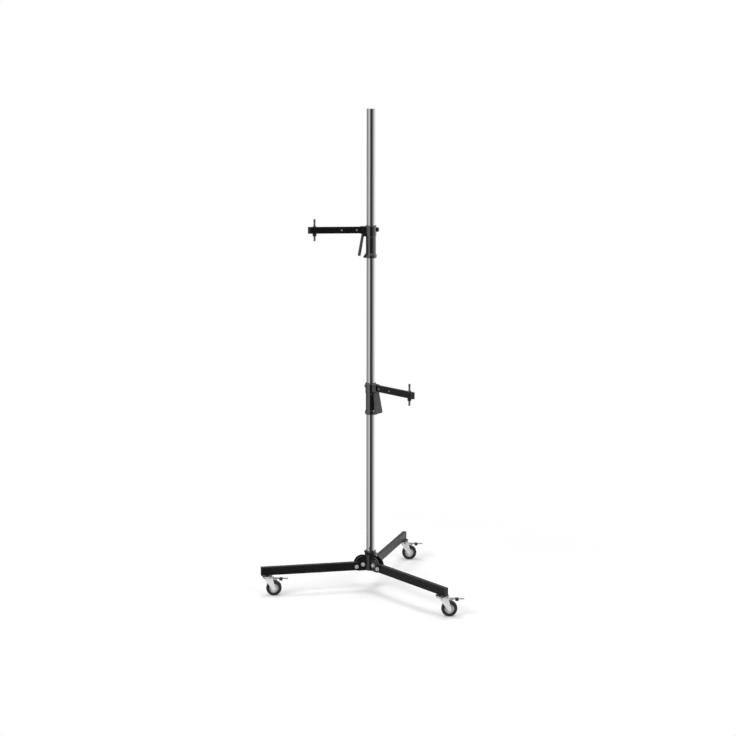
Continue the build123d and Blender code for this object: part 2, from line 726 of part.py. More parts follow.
save(make_hub(), "hub_casting")
save(make_column(), "column_tube")
save(make_column_plug(), "column_plug")
pivot_pair = [make_pivot_bolt(), make_pivot_nut()]
pivot_fasteners = [turned(direction) * piece for direction in leg_places.values() for piece in pivot_pair]
save(Compound(pivot_fasteners), "pivot_fasteners")
save(turned(wing_direction) * make_wing_screw(), "wing_screw")

# Write the three legs and casters

caster_pieces = {
    "caster_fork": make_fork(),
    "fork_pins": make_fork_pins(),
    "tyre": make_tyre(),
    "wheel_rim": make_wheel_rim(),
    "brake_pedal": make_brake_pedal(),
    "pedal_cap": make_pedal_cap(),
}
for place, direction in leg_places.items():
    side = lock_sides[place]
    leg_pieces = {
        "leg_tube": make_leg_tube(side),
        "leg_knuckle": make_leg_knuckle(side),
        "leg_end_cap": make_leg_end_cap(),
        "leg_fasteners": make_leg_fasteners(side),
        "caster_plate": make_caster_plate(),
    }
    for name, shape in leg_pieces.items():
        save(turned(direction) * shape, f"{place}_{name}")
    swivel_x = caster_reach * cos(radians(direction))
    swivel_y = caster_reach * sin(radians(direction))
    for name, shape in caster_pieces.items():
        save(Pos(swivel_x, swivel_y, 0) * turned(caster_heading) * shape, f"{place}_{name}")

# Write the two clamps

clamp_pieces = {
    "slide_bushes": make_bushes(),
    "clamp_housing": make_housing(),
    "arm_tube": make_arm(),
    "arm_cap": make_arm_cap(),
    "arm_bolts": make_arm_bolts(),
    "squeeze_lever": make_lever(),
    "lever_pin": make_lever_pin(),
    "lever_springs": make_lever_springs(),
    "stud": make_stud(),
    "stud_nut": make_stud_nut(),
    "tension_knob": make_tension_knob(),
}
for place, (bottom, direction) in clamp_places.items():
    for name, shape in clamp_pieces.items():
        save(Pos(0, 0, bottom) * turned(direction) * shape, f"{place}_{name}")
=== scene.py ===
import math
import bmesh
import bpy
import numpy as np
from mathutils import Matrix, Vector
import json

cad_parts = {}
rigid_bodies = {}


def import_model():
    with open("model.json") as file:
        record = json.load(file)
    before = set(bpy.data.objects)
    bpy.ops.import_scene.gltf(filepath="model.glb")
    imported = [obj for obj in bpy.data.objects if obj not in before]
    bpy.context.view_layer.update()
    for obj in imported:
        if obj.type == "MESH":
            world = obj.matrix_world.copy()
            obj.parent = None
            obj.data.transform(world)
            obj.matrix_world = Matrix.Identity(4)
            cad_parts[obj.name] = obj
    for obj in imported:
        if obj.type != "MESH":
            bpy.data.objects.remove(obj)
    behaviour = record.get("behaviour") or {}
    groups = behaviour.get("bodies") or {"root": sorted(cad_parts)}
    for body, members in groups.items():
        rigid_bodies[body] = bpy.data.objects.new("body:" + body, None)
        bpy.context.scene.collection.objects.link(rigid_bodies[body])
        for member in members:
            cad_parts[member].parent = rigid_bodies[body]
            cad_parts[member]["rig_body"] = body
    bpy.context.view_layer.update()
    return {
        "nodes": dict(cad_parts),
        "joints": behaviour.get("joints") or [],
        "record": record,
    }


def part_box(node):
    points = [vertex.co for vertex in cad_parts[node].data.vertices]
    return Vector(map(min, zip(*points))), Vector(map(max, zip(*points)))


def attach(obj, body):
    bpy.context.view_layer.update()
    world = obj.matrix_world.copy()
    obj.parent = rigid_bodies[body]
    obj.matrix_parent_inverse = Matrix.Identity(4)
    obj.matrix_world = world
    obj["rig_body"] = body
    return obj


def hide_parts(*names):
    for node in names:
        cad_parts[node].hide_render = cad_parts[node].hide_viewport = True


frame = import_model()
nodes = frame["nodes"]
joints = {joint["name"]: joint for joint in frame["joints"]}
scene = bpy.context.scene
legPlaces = {"rear": 90.0, "left": 210.0, "right": 330.0}     # degrees about the column
clampPlaces = {"upper": 205.0, "lower": 332.0}                # degrees that each arm points to
mm = 0.001
print("frame loaded:", len(nodes), "nodes")


# Surfaces from numpy. A surface is an array of points, rows along one parameter and columns along the other.

def meshFromGrid(name, points, wrapRows=False, wrapColumns=False):
    # Every cell of the grid becomes one quad. A wrapped side also joins its last line to its first.
    rows, columns = points.shape[:2]
    index = np.arange(rows * columns).reshape(rows, columns)
    if wrapRows:
        index = np.vstack([index, index[:1]])
    if wrapColumns:
        index = np.hstack([index, index[:, :1]])
    quads = np.stack([index[:-1, :-1], index[1:, :-1], index[1:, 1:], index[:-1, 1:]], -1).reshape(-1, 4)
    mesh = bpy.data.meshes.new(name)
    mesh.from_pydata(points.reshape(-1, 3).tolist(), [], quads.tolist())
    return mesh


def tidyMesh(mesh, sharpAngle=35.0, merge=1e-6):
    # Poles and seams are closed, faces point out, and edges past the angle stay crisp.
    work = bmesh.new()
    work.from_mesh(mesh)
    bmesh.ops.remove_doubles(work, verts=work.verts, dist=merge)
    bmesh.ops.dissolve_degenerate(work, edges=work.edges, dist=merge)
    bmesh.ops.recalc_face_normals(work, faces=work.faces)
    work.to_mesh(mesh)
    work.free()
    mesh.shade_smooth()
    mesh.set_sharp_from_angle(angle=math.radians(sharpAngle))
    mesh.update()


def joinMeshes(name, meshes):
    work = bmesh.new()
    for mesh in meshes:
        work.from_mesh(mesh)
        bpy.data.meshes.remove(mesh)
    joined = bpy.data.meshes.new(name)
    work.to_mesh(joined)
    work.free()
    return joined


def addPiece(name, mesh, body, material, replaced=(), sharpAngle=35.0):
    tidyMesh(mesh, sharpAngle)
    mesh.name = name
    mesh.materials.clear()
    mesh.materials.append(material)
    piece = bpy.data.objects.new(name, mesh)
    scene.collection.objects.link(piece)
    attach(piece, body)
    if replaced:
        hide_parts(*replaced)
    return piece


def lathe(profile, turns=96, wave=None):
    # A profile of (radius, height) points carried round Z. wave(radius, height, angle) moves them in and out.
    angle = np.linspace(0, 2 * np.pi, turns, endpoint=False)[None, :]
    radius, height = profile[:, :1] + 0 * angle, profile[:, 1:] + 0 * angle
    if wave is not None:
        radius, height = wave(radius, height, angle + 0 * radius)
    return np.stack([radius * np.cos(angle), radius * np.sin(angle), height], -1)


def arcPoints(centre, radius, start, end, count):
    # Points (radius, height) along a circle's arc, angles in degrees from the outward direction.
    angle = np.radians(np.linspace(start, end, count))
    return np.stack([centre[0] + radius * np.cos(angle), centre[1] + radius * np.sin(angle)], -1)


def tube(path, radius, sides=12):
    # A circle of the given radius carried along a path, square to it at every point.
    path = np.asarray(path, float)
    along = np.gradient(path, axis=0)
    along /= np.linalg.norm(along, axis=1, keepdims=True)
    guide = np.array([0.31, 0.17, 0.93])
    sideways = np.cross(along, guide)
    sideways /= np.linalg.norm(sideways, axis=1, keepdims=True)
    upward = np.cross(along, sideways)
    angle = np.linspace(0, 2 * np.pi, sides, endpoint=False)[None, :, None]
    size = np.broadcast_to(np.asarray(radius, float).reshape(-1, 1, 1), (len(path), 1, 1))
    ring = np.cos(angle) * sideways[:, None] + np.sin(angle) * upward[:, None]
    points = path[:, None] + size * ring
    closed = [path[:1, None] + 0 * points[:1], points, path[-1:, None] + 0 * points[-1:]]
    return np.vstack(closed)


def placed(points, origin, axis, side=None):
    # Turns a surface made round Z so that Z lies along axis and X along side, and moves it to origin.
    up = np.asarray(axis, float) / np.linalg.norm(axis)
    hint = np.array([0.0, 0.0, 1.0]) if side is None else np.asarray(side, float)
    if abs(up @ (hint / np.linalg.norm(hint))) > 0.95:
        hint = np.array([1.0, 0.0, 0.0])
    right = hint - up * (hint @ up)
    right /= np.linalg.norm(right)
    turn = np.stack([right, np.cross(up, right), up])
    return points @ turn + np.asarray(origin, float)


def middleOf(name):
    low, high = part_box(name)
    return np.array((low + high) / 2)


def outward(degrees):
    return np.array([math.cos(math.radians(degrees)), math.sin(math.radians(degrees)), 0.0])


def refined(name, ending, bevel, material, keep=None, sharpAngle=32.0, segments=2):
    # A merged copy of a CAD node, or of the solids of it that keep picks, with its coplanar triangles
    # dissolved and its edges rounded by a bevel.
    mesh = nodes[name].data.copy()
    for layer in [layer for layer in mesh.attributes if layer.name == "custom_normal"]:
        mesh.attributes.remove(layer)
    work = bmesh.new()
    work.from_mesh(mesh)
    if keep is not None:
        bmesh.ops.delete(work, geom=[vertex for vertex in work.verts if not keep(vertex.co)], context="VERTS")
    bmesh.ops.remove_doubles(work, verts=work.verts, dist=2e-6)
    bmesh.ops.dissolve_limit(work, angle_limit=math.radians(0.4), verts=work.verts, edges=work.edges)
    work.to_mesh(mesh)
    work.free()
    mesh.shade_smooth()
    mesh.set_sharp_from_angle(angle=math.radians(sharpAngle))
    mesh.materials.clear()
    mesh.materials.append(material)
    piece = bpy.data.objects.new(f"{name}_{ending}", mesh)
    scene.collection.objects.link(piece)
    rounding = piece.modifiers.new("edgeRounding", "BEVEL")
    rounding.width = bevel
    rounding.segments = segments
    rounding.limit_method = "ANGLE"
    rounding.angle_limit = math.radians(sharpAngle)
    rounding.harden_normals = True
    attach(piece, nodes[name]["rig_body"])
    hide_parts(name)
    return piece


# Shader groups used by several finishes

def newGroup(name, inputs, outputs):
    group = bpy.data.node_groups.new(name, "ShaderNodeTree")
    for label, kind, value in inputs:
        socket = group.interface.new_socket(label, in_out="INPUT", socket_type="NodeSocket" + kind)
        socket.default_value = value
    for label, kind in outputs:
        group.interface.new_socket(label, in_out="OUTPUT", socket_type="NodeSocket" + kind)
    start, end = group.nodes.new("NodeGroupInput"), group.nodes.new("NodeGroupOutput")
    return group, start, end


def addNode(tree, kind, settings=None, **sockets):
    made = tree.nodes.new("ShaderNode" + kind)
    for key, value in (settings or {}).items():
        setattr(made, key, value)
    for key, value in sockets.items():
        made.inputs[key.replace("_", " ")].default_value = value
    return made


def math2(tree, operation, first, second, clamp=False):
    made = tree.nodes.new("ShaderNodeMath")
    made.operation, made.use_clamp = operation, clamp
    for socket, value in zip(made.inputs, (first, second)):
        if isinstance(value, (int, float)):
            socket.default_value = value
        else:
            tree.links.new(value, socket)
    return made.outputs[0]


def makeEdgeWearAndHighlight():
    # Rubbed edges, lighter as wear and as a painted edge highlight: where a rounded normal leaves the true one, broken
    # up by noise.
    group, start, end = newGroup(
        "edgeWearAndHighlight", [("Radius", "Float", 0.0008), ("Amount", "Float", 0.5), ("Patch Scale", "Float", 90.0)],
        [("Mask", "Float")])
    links = group.links
    rounded = addNode(group, "Bevel", {"samples": 4})
    links.new(start.outputs["Radius"], rounded.inputs["Radius"])
    plain = addNode(group, "NewGeometry")
    alike = addNode(group, "VectorMath", {"operation": "DOT_PRODUCT"})
    links.new(rounded.outputs["Normal"], alike.inputs[0])
    links.new(plain.outputs["Normal"], alike.inputs[1])
    edge = math2(group, "MULTIPLY", math2(group, "SUBTRACT", 1.0, alike.outputs["Value"]), 9.0, clamp=True)
    place = addNode(group, "TexCoord")
    patches = addNode(group, "TexNoise", Detail=5.0, Roughness=0.65)
    links.new(place.outputs["Object"], patches.inputs["Vector"])
    links.new(start.outputs["Patch Scale"], patches.inputs["Scale"])
    kept = math2(group, "MULTIPLY", math2(group, "SUBTRACT", patches.outputs["Fac"], 0.42), 5.0, clamp=True)
    wornAndLitEdge = math2(group, "MULTIPLY", edge, kept)
    links.new(math2(group, "MULTIPLY", wornAndLitEdge, start.outputs["Amount"], clamp=True), end.inputs["Mask"])
    return group


def makeFineGrain():
    # Two sizes of noise added up: the height of orange peel, casting skin or moulded grain.
    group, start, end = newGroup(
        "fineGrain", [("Scale", "Float", 900.0), ("Coarse Share", "Float", 0.4)], [("Height", "Float")])
    links = group.links
    place = addNode(group, "TexCoord")
    fine = addNode(group, "TexNoise", Detail=3.0, Roughness=0.6)
    coarse = addNode(group, "TexNoise", Detail=2.0, Roughness=0.5)
    links.new(place.outputs["Object"], fine.inputs["Vector"])
    links.new(place.outputs["Object"], coarse.inputs["Vector"])
    links.new(start.outputs["Scale"], fine.inputs["Scale"])
    links.new(math2(group, "MULTIPLY", start.outputs["Scale"], 0.18), coarse.inputs["Scale"])
    share = math2(group, "MULTIPLY", coarse.outputs["Fac"], start.outputs["Coarse Share"])
    links.new(math2(group, "ADD", fine.outputs["Fac"], share), end.inputs["Height"])
    return group


def makeHandling():
    # Cloudy smudges and a few fine scratches, as a mask for roughness and colour.
    group, start, end = newGroup(
        "handling", [("Cloud Scale", "Float", 18.0), ("Scratches", "Float", 0.3)],
        [("Smudge", "Float"), ("Scratch", "Float")])
    links = group.links
    place = addNode(group, "TexCoord")
    clouds = addNode(group, "TexNoise", Detail=6.0, Roughness=0.62, Distortion=0.6)
    links.new(place.outputs["Object"], clouds.inputs["Vector"])
    links.new(start.outputs["Cloud Scale"], clouds.inputs["Scale"])
    links.new(clouds.outputs["Fac"], end.inputs["Smudge"])
    stretch = addNode(group, "Mapping")
    stretch.inputs["Scale"].default_value = (1.0, 1.0, 0.06)
    stretch.inputs["Rotation"].default_value = (0.5, 0.3, 0.0)
    links.new(place.outputs["Object"], stretch.inputs["Vector"])
    lines = addNode(group, "TexNoise", Scale=1400.0, Detail=1.0)
    links.new(stretch.outputs["Vector"], lines.inputs["Vector"])
    sharp = math2(group, "MULTIPLY", math2(group, "SUBTRACT", lines.outputs["Fac"], 0.66), 12.0, clamp=True)
    links.new(math2(group, "MULTIPLY", sharp, start.outputs["Scratches"], clamp=True), end.inputs["Scratch"])
    return group


def makeDust():
    # Pale dust that lies on faces that look up, thicker in patches.
    group, start, end = newGroup(
        "dust", [("Amount", "Float", 0.1), ("Patch Scale", "Float", 30.0)], [("Mask", "Float")])
    links = group.links
    surface = addNode(group, "NewGeometry")
    parts = addNode(group, "SeparateXYZ")
    links.new(surface.outputs["Normal"], parts.inputs[0])
    facing = math2(group, "MULTIPLY", math2(group, "SUBTRACT", parts.outputs["Z"], 0.45), 2.0, clamp=True)
    place = addNode(group, "TexCoord")
    patches = addNode(group, "TexNoise", Detail=8.0, Roughness=0.7)
    links.new(place.outputs["Object"], patches.inputs["Vector"])
    links.new(start.outputs["Patch Scale"], patches.inputs["Scale"])
    settled = math2(group, "MULTIPLY", facing, patches.outputs["Fac"])
    links.new(math2(group, "MULTIPLY", settled, start.outputs["Amount"], clamp=True), end.inputs["Mask"])
    return group


edgeWearAndHighlight, fineGrain, handling, dust = makeEdgeWearAndHighlight(), makeFineGrain(), makeHandling(), makeDust()


def addGroup(tree, group, **values):
    made = tree.nodes.new("ShaderNodeGroup")
    made.node_tree = group
    for key, value in values.items():
        made.inputs[key.replace("_", " ")].default_value = value
    return made


def mixColours(tree, mask, first, second):
    made = addNode(tree, "Mix", {"data_type": "RGBA"})
    tree.links.new(mask, made.inputs["Factor"])
    for socket, value in ((made.inputs[6], first), (made.inputs[7], second)):
        if isinstance(value, tuple):
            socket.default_value = (*value, 1.0)
        else:
            tree.links.new(value, socket)
    return made.outputs[2]


def spread(tree, value, low, high):
    made = addNode(tree, "MapRange")
    made.inputs["To Min"].default_value, made.inputs["To Max"].default_value = low, high
    tree.links.new(value, made.inputs["Value"])
    return made.outputs["Result"]


def makeFinish(name, look):
    # One finish: colour with patches, edges lighter as wear and as a painted edge highlight, dust, roughness with
    # smudges, and a fine bump.
    material = bpy.data.materials.new(name)
    material.use_nodes = True
    tree = material.node_tree
    shader = tree.nodes["Principled BSDF"]
    shader.inputs["Metallic"].default_value = look.get("metallic", 0.0)
    shader.inputs["IOR"].default_value = look.get("ior", 1.5)
    shader.inputs["Coat Weight"].default_value = look.get("coat", 0.0)
    shader.inputs["Coat Roughness"].default_value = look.get("coatRoughness", 0.1)
    handled = addGroup(tree, handling, Cloud_Scale=look.get("cloudScale", 18.0), Scratches=look.get("scratches", 0.2))
    clouds = handled.outputs["Smudge"]
    colour = mixColours(tree, clouds, look["colour"], look.get("colourTwo", look["colour"]))
    # Lighter edges: partly rubbed paint, partly a painted highlight where light would catch the edge.
    if "wearAndHighlight" in look:
        wornAndLitEdge = addGroup(tree, edgeWearAndHighlight, Radius=look["wearAndHighlightRadius"], Amount=look["wearAndHighlight"])
        colour = mixColours(tree, wornAndLitEdge.outputs["Mask"], colour, look["wearAndHighlightColour"])
    if look.get("dust", 0.0) > 0.0:
        dusty = addGroup(tree, dust, Amount=look["dust"])
        colour = mixColours(tree, dusty.outputs["Mask"], colour, (0.42, 0.41, 0.39))
    tree.links.new(colour, shader.inputs["Base Color"])
    low, high = look["roughness"]
    rough = math2(tree, "ADD", spread(tree, clouds, low, high), math2(tree, "MULTIPLY", handled.outputs["Scratch"], 0.15))
    tree.links.new(rough, shader.inputs["Roughness"])
    grain = addGroup(tree, fineGrain, Scale=look.get("grainScale", 900.0), Coarse_Share=look.get("coarseShare", 0.4))
    bump = addNode(tree, "Bump", Strength=look.get("bump", 0.1), Distance=look.get("bumpDepth", 0.0002))
    tree.links.new(grain.outputs["Height"], bump.inputs["Height"])
    tree.links.new(bump.outputs["Normal"], shader.inputs["Normal"])
    return material


finishLooks = {
    # The wear colours make edges lighter: partly rubbed paint, partly a painted edge highlight.
    "chrome": {"colour": (0.84, 0.85, 0.87), "colourTwo": (0.80, 0.81, 0.83), "metallic": 1.0,
               "roughness": (0.035, 0.09), "cloudScale": 9.0, "scratches": 0.35, "bump": 0.006},
    "castBlack": {"colour": (0.004, 0.004, 0.004), "colourTwo": (0.008, 0.008, 0.009), "ior": 1.6,
                  "roughness": (0.20, 0.30), "coat": 0.5, "coatRoughness": 0.10, "wearAndHighlight": 0.5, "wearAndHighlightRadius": 0.0009,
                  "wearAndHighlightColour": (0.09, 0.09, 0.09), "dust": 0.10, "bump": 0.10, "grainScale": 700.0},
    "legBlack": {"colour": (0.006, 0.006, 0.007), "colourTwo": (0.011, 0.011, 0.012), "ior": 1.4,
                 "roughness": (0.34, 0.46), "wearAndHighlight": 0.6, "wearAndHighlightRadius": 0.0008, "wearAndHighlightColour": (0.10, 0.10, 0.10),
                 "dust": 0.16, "bump": 0.14, "grainScale": 1100.0},
    "clampBlack": {"colour": (0.003, 0.003, 0.003), "colourTwo": (0.005, 0.005, 0.005), "ior": 2.3,
                   "roughness": (0.05, 0.10), "coat": 0.6, "coatRoughness": 0.04, "wearAndHighlight": 0.4, "wearAndHighlightRadius": 0.0007,
                   "wearAndHighlightColour": (0.06, 0.06, 0.06), "dust": 0.04, "bump": 0.03, "grainScale": 800.0},
    "armBlack": {"colour": (0.004, 0.004, 0.004), "colourTwo": (0.008, 0.008, 0.008), "ior": 1.4,
                 "roughness": (0.20, 0.30), "wearAndHighlight": 0.4, "wearAndHighlightRadius": 0.0006, "wearAndHighlightColour": (0.05, 0.05, 0.05),
                 "dust": 0.05, "bump": 0.05, "grainScale": 900.0},
    "leverGrey": {"colour": (0.030, 0.030, 0.032), "colourTwo": (0.045, 0.045, 0.047), "ior": 1.8,
                  "roughness": (0.28, 0.38), "wearAndHighlight": 0.7, "wearAndHighlightRadius": 0.0006, "wearAndHighlightColour": (0.22, 0.22, 0.22),
                  "dust": 0.05, "bump": 0.08, "grainScale": 1200.0},
    "zinc": {"colour": (0.86, 0.87, 0.89), "colourTwo": (0.76, 0.77, 0.79), "metallic": 0.2,
             "roughness": (0.26, 0.42), "cloudScale": 60.0, "scratches": 0.6, "bump": 0.08, "grainScale": 500.0},
    "brightBolt": {"colour": (0.68, 0.68, 0.68), "colourTwo": (0.56, 0.56, 0.57), "metallic": 0.45,
                   "roughness": (0.14, 0.26), "cloudScale": 70.0, "scratches": 0.5, "bump": 0.04},
    "pedalSteel": {"colour": (0.46, 0.46, 0.47), "colourTwo": (0.36, 0.36, 0.37), "metallic": 0.35,
                   "roughness": (0.28, 0.44), "cloudScale": 60.0, "scratches": 0.6, "bump": 0.06, "grainScale": 500.0},
    # Dark zinc: on the caster bolts its darkness is painted shade from the leg above them; on the arm bolts it is their
    # own colour.
    "darkZincAndPaintedShade": {"colour": (0.24, 0.24, 0.25), "colourTwo": (0.16, 0.16, 0.17), "metallic": 0.5,
                 "roughness": (0.32, 0.48), "cloudScale": 60.0, "scratches": 0.5, "bump": 0.08, "grainScale": 500.0},
    "darkSteel": {"colour": (0.10, 0.10, 0.105), "colourTwo": (0.05, 0.05, 0.052), "metallic": 1.0,
                  "roughness": (0.28, 0.45), "cloudScale": 90.0, "bump": 0.08},
    "studSteel": {"colour": (0.34, 0.34, 0.35), "colourTwo": (0.24, 0.24, 0.25), "metallic": 1.0,
                  "roughness": (0.22, 0.36), "cloudScale": 70.0, "scratches": 0.6, "bump": 0.05},
    "blackPlastic": {"colour": (0.014, 0.014, 0.015), "colourTwo": (0.022, 0.022, 0.023),
                     "roughness": (0.38, 0.52), "dust": 0.08, "bump": 0.18, "grainScale": 1600.0},
    "bushNylon": {"colour": (0.020, 0.020, 0.020), "colourTwo": (0.030, 0.030, 0.031),
                  "roughness": (0.36, 0.46), "bump": 0.05},
    "wheelGrey": {"colour": (0.66, 0.66, 0.66), "colourTwo": (0.58, 0.58, 0.58),
                  "roughness": (0.34, 0.48), "dust": 0.05, "cloudScale": 40.0, "bump": 0.06},
    "tyreRubber": {"colour": (0.012, 0.012, 0.013), "colourTwo": (0.030, 0.029, 0.028),
                   "roughness": (0.55, 0.78), "dust": 0.22, "cloudScale": 45.0, "bump": 0.25, "grainScale": 700.0},
}
finish = {name: makeFinish(name, look) for name, look in finishLooks.items()}
slotFinish = {
    "chrome_column": "chrome", "black_hub": "castBlack", "black_legs": "legBlack", "black_clamp": "clampBlack",
    "grey_lever": "leverGrey", "zinc": "zinc", "bright_bolts": "brightBolt", "dark_steel": "darkSteel",
    "stud_steel": "studSteel", "black_plastic": "blackPlastic", "bush_plastic": "bushNylon",
    "wheel_grey": "wheelGrey", "tyre": "tyreRubber",
}
slotOf = {part["node"]: part["material_slot"] for part in frame["record"]["subparts"]}
ownFinish = {"arm_tube": "armBlack", "brake_pedal": "pedalSteel", "arm_bolts": "darkZincAndPaintedShade"}    # apart from their slot's
nodeFinish = {}
for name in nodes:
    kind = name.split("_", 1)[1]
    nodeFinish[name] = finish[ownFinish.get(kind, slotFinish[slotOf[name]])]
    nodes[name].data.materials.clear()
    nodes[name].data.materials.append(nodeFinish[name])
print("finishes made:", len(finish))


# Column

columnLook = {"wall": 2.0 * mm, "rimRound": 0.5 * mm, "guard": 1.5 * mm, "turns": 128}


def makeColumn():
    # A closed ring profile of tube wall with rounded rims, carried round the column's axis.
    low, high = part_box("column_tube")
    outer = (high.x - low.x) / 2
    inner = outer - columnLook["wall"]
    r, g = columnLook["rimRound"], columnLook["guard"]
    top = np.vstack([arcPoints((outer - r, high.z - r), r, 0, 90, 5), arcPoints((inner + r, high.z - r), r, 90, 180, 5)])
    bottom = np.array([[inner, low.z], [outer, low.z]])
    heights = np.array([low.z + g, (low.z + high.z) / 2, high.z - r - g])
    outside = np.stack([outer + 0 * heights, heights], -1)
    inside = np.stack([inner + 0 * heights, heights], -1)[::-1]
    profile = np.vstack([bottom[1:], outside, top, inside, bottom[:1]])
    mesh = meshFromGrid("column", lathe(profile, columnLook["turns"]), wrapRows=True, wrapColumns=True)
    addPiece("column", mesh, "base", finish["chrome"], ["column_tube"])


makeColumn()
print("column made")


# Casters: tyre and rim of each wheel

wheelLook = {"radius": 36.0 * mm, "tyreDepth": 9.0 * mm, "tyreHalf": 11.0 * mm, "shoulder": 5.0 * mm,
             "lip": 5.4 * mm, "lipGap": 0.05 * mm, "crown": 0.3 * mm, "groove": 0.5 * mm, "grooveHalf": 0.6 * mm, "groovePlace": 3.4 * mm, "bossRadius": 9.0 * mm,
             "bossHalf": 12.7 * mm, "bore": 4.05 * mm, "rimHalf": 9.0 * mm, "webHalf": 2.6 * mm,
             "ribHeight": 2.6 * mm, "ribs": 8, "turns": 96}


def tyreProfile():
    # Tread: crown falling as the square of the distance from the middle, less two narrow grooves. Round
    # shoulders, and a thin lip of rubber that lies over the rim's edge.
    look = wheelLook
    flat = look["tyreHalf"] - look["shoulder"]
    across = np.linspace(-flat, flat, 31)
    grooves = sum(np.exp(-((across - side * look["groovePlace"]) / look["grooveHalf"]) ** 2) for side in (-1, 1))
    tread = np.stack([look["radius"] - look["crown"] * (across / flat) ** 2 - look["groove"] * grooves, across], -1)
    shoulder = arcPoints((look["radius"] - look["crown"] - look["shoulder"], flat), look["shoulder"], 0, 90, 8)
    inner = look["radius"] - look["tyreDepth"]
    seat = look["rimHalf"] + look["lipGap"]
    bead = np.array([[inner + 1.2 * mm, look["tyreHalf"]], [inner - 0.6 * look["lip"], look["tyreHalf"] - 0.5 * mm],
                     [inner - look["lip"], seat + 0.6 * mm], [inner - look["lip"], seat], [inner, seat], [inner, 0.0]])
    half = np.vstack([shoulder[1:], bead])
    mirrored = (half * np.array([1, -1]))[::-1]
    return np.vstack([tread, half, mirrored[1:]])


def rimProfile():
    # Half of the rim from its bore outward: boss, dished web, bead under the tyre.
    look = wheelLook
    inner = look["radius"] - look["tyreDepth"]
    boss, web = look["bossRadius"], look["webHalf"]
    half = np.vstack([
        [[look["bore"], 0.0], [look["bore"], look["bossHalf"] - 0.6 * mm], [look["bore"] + 0.6 * mm, look["bossHalf"]]],
        arcPoints((boss - 1.2 * mm, look["bossHalf"] - 1.2 * mm), 1.2 * mm, 90, 0, 5),
        np.stack([np.full(4, boss), np.linspace(look["bossHalf"] - 2.4 * mm, web + 1.6 * mm, 4)], -1),
        arcPoints((boss + 1.4 * mm, web + 1.4 * mm), 1.4 * mm, 180, 270, 5),
        np.stack([np.linspace(boss + 2.4 * mm, inner - 5.2 * mm, 9), np.full(9, web)], -1),
        arcPoints((inner - 5.0 * mm, web + 1.5 * mm), 1.5 * mm, 270, 340, 4),
        [[inner - 2.8 * mm, look["rimHalf"] - 0.5 * mm], [inner - 2.3 * mm, look["rimHalf"]],
         [inner - 0.4 * mm, look["rimHalf"]], [inner - 0.02 * mm, look["rimHalf"] - 0.4 * mm]],
    ])
    mirrored = (half * np.array([1, -1]))[::-1]
    return np.vstack([half, mirrored[:-1]])


def ribWave(radius, height, angle):
    # Ribs: between boss and bead the web rises by a narrow cosine crest, repeated round the wheel.
    look = wheelLook
    inner = look["radius"] - look["tyreDepth"]
    start, end = look["bossRadius"] + 0.6 * mm, inner - 4.2 * mm
    along = np.clip((radius - start) / (end - start), 0, 1)
    onWeb = np.where((radius > start) & (radius < end) & (np.abs(height) < look["webHalf"] * 1.6), 1.0, 0.0)
    crest = np.clip(np.cos(angle * look["ribs"]) * 3.0 - 2.0, 0, 1)
    rise = look["ribHeight"] * (1 - 0.35 * along) * crest * onWeb
    return radius, height + np.sign(height) * rise


def makeWheel(place):
    centre = middleOf(f"{place}_tyre")
    axis = joints[f"{place}_wheel_spin"]["axis"]
    tyre = placed(lathe(tyreProfile(), wheelLook["turns"]), centre, axis)
    addPiece(f"{place}_wheel_tyre", meshFromGrid("tyre", tyre, True, True), f"{place}_wheel",
             finish["tyreRubber"], [f"{place}_tyre"], 50.0)
    rim = placed(lathe(rimProfile(), wheelLook["turns"] * 2, ribWave), centre, axis)
    addPiece(f"{place}_wheel_hub", meshFromGrid("rim", rim, True, True), f"{place}_wheel",
             finish["wheelGrey"], [f"{place}_wheel_rim"], 40.0)


for place in legPlaces:
    makeWheel(place)
print("wheels made")


# Weld beads where each caster's plate meets its leg

weldLook = {"radius": 2.2 * mm, "ripple": 0.28 * mm, "pitch": 2.6 * mm, "along": 38.0 * mm, "legHalf": 10.0 * mm}


def makeWelds(place):
    # A bead along each side: its radius swells and shrinks as a sine of the way along, like laid drops.
    outwards, upwards = outward(legPlaces[place]), np.array([0.0, 0.0, 1.0])
    sideways = np.cross(upwards, outwards)
    low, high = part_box(f"{place}_leg_tube")
    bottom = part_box(f"{place}_leg_end_cap")[0].z
    swivel = np.array(joints[f"{place}_caster_swivel"]["pos_m"])
    step = np.linspace(-weldLook["along"] / 2, weldLook["along"] / 2, 150)
    swell = weldLook["ripple"] * np.sin(2 * np.pi * step / weldLook["pitch"])
    taper = np.clip((weldLook["along"] / 2 - np.abs(step)) / (2 * mm), 0.05, 1) ** 0.5
    drift = 0.25 * mm * np.sin(step / (5.1 * mm) + 1.3)
    meshes = []
    for side in (-1, 1):
        base = swivel * np.array([1, 1, 0]) + upwards * (bottom - 0.3 * mm)
        across = side * (weldLook["legHalf"] - 0.2 * mm) + side * drift
        path = base + step[:, None] * outwards + across[:, None] * sideways
        meshes.append(meshFromGrid("bead", tube(path, (weldLook["radius"] + swell) * taper, 14), wrapColumns=True))
    addPiece(f"{place}_weld_beads", joinMeshes("beads", meshes), f"{place}_leg", finish["legBlack"])


for place in legPlaces:
    makeWelds(place)
print("weld beads made")


# Clamp details: springs, studs, nuts and knobs

clampLook = {"springWire": 0.65 * mm, "springRadius": 4.05 * mm, "springTurns": 2.6, "lugHalf": 8.2 * mm,
             "studRadius": 5.0 * mm, "threadDepth": 0.55 * mm, "threadPitch": 1.5 * mm, "threadLength": 26.0 * mm,
             "flangeRadius": 8.5 * mm, "flangeHeight": 3.4 * mm, "waist": 0.8 * mm,
             "nutRadius": 9.0 * mm, "nutGrip": 0.75 * mm, "nutRibs": 24,
             "knobRadius": 10.5 * mm, "knobGrip": 0.8 * mm, "knobRibs": 18}


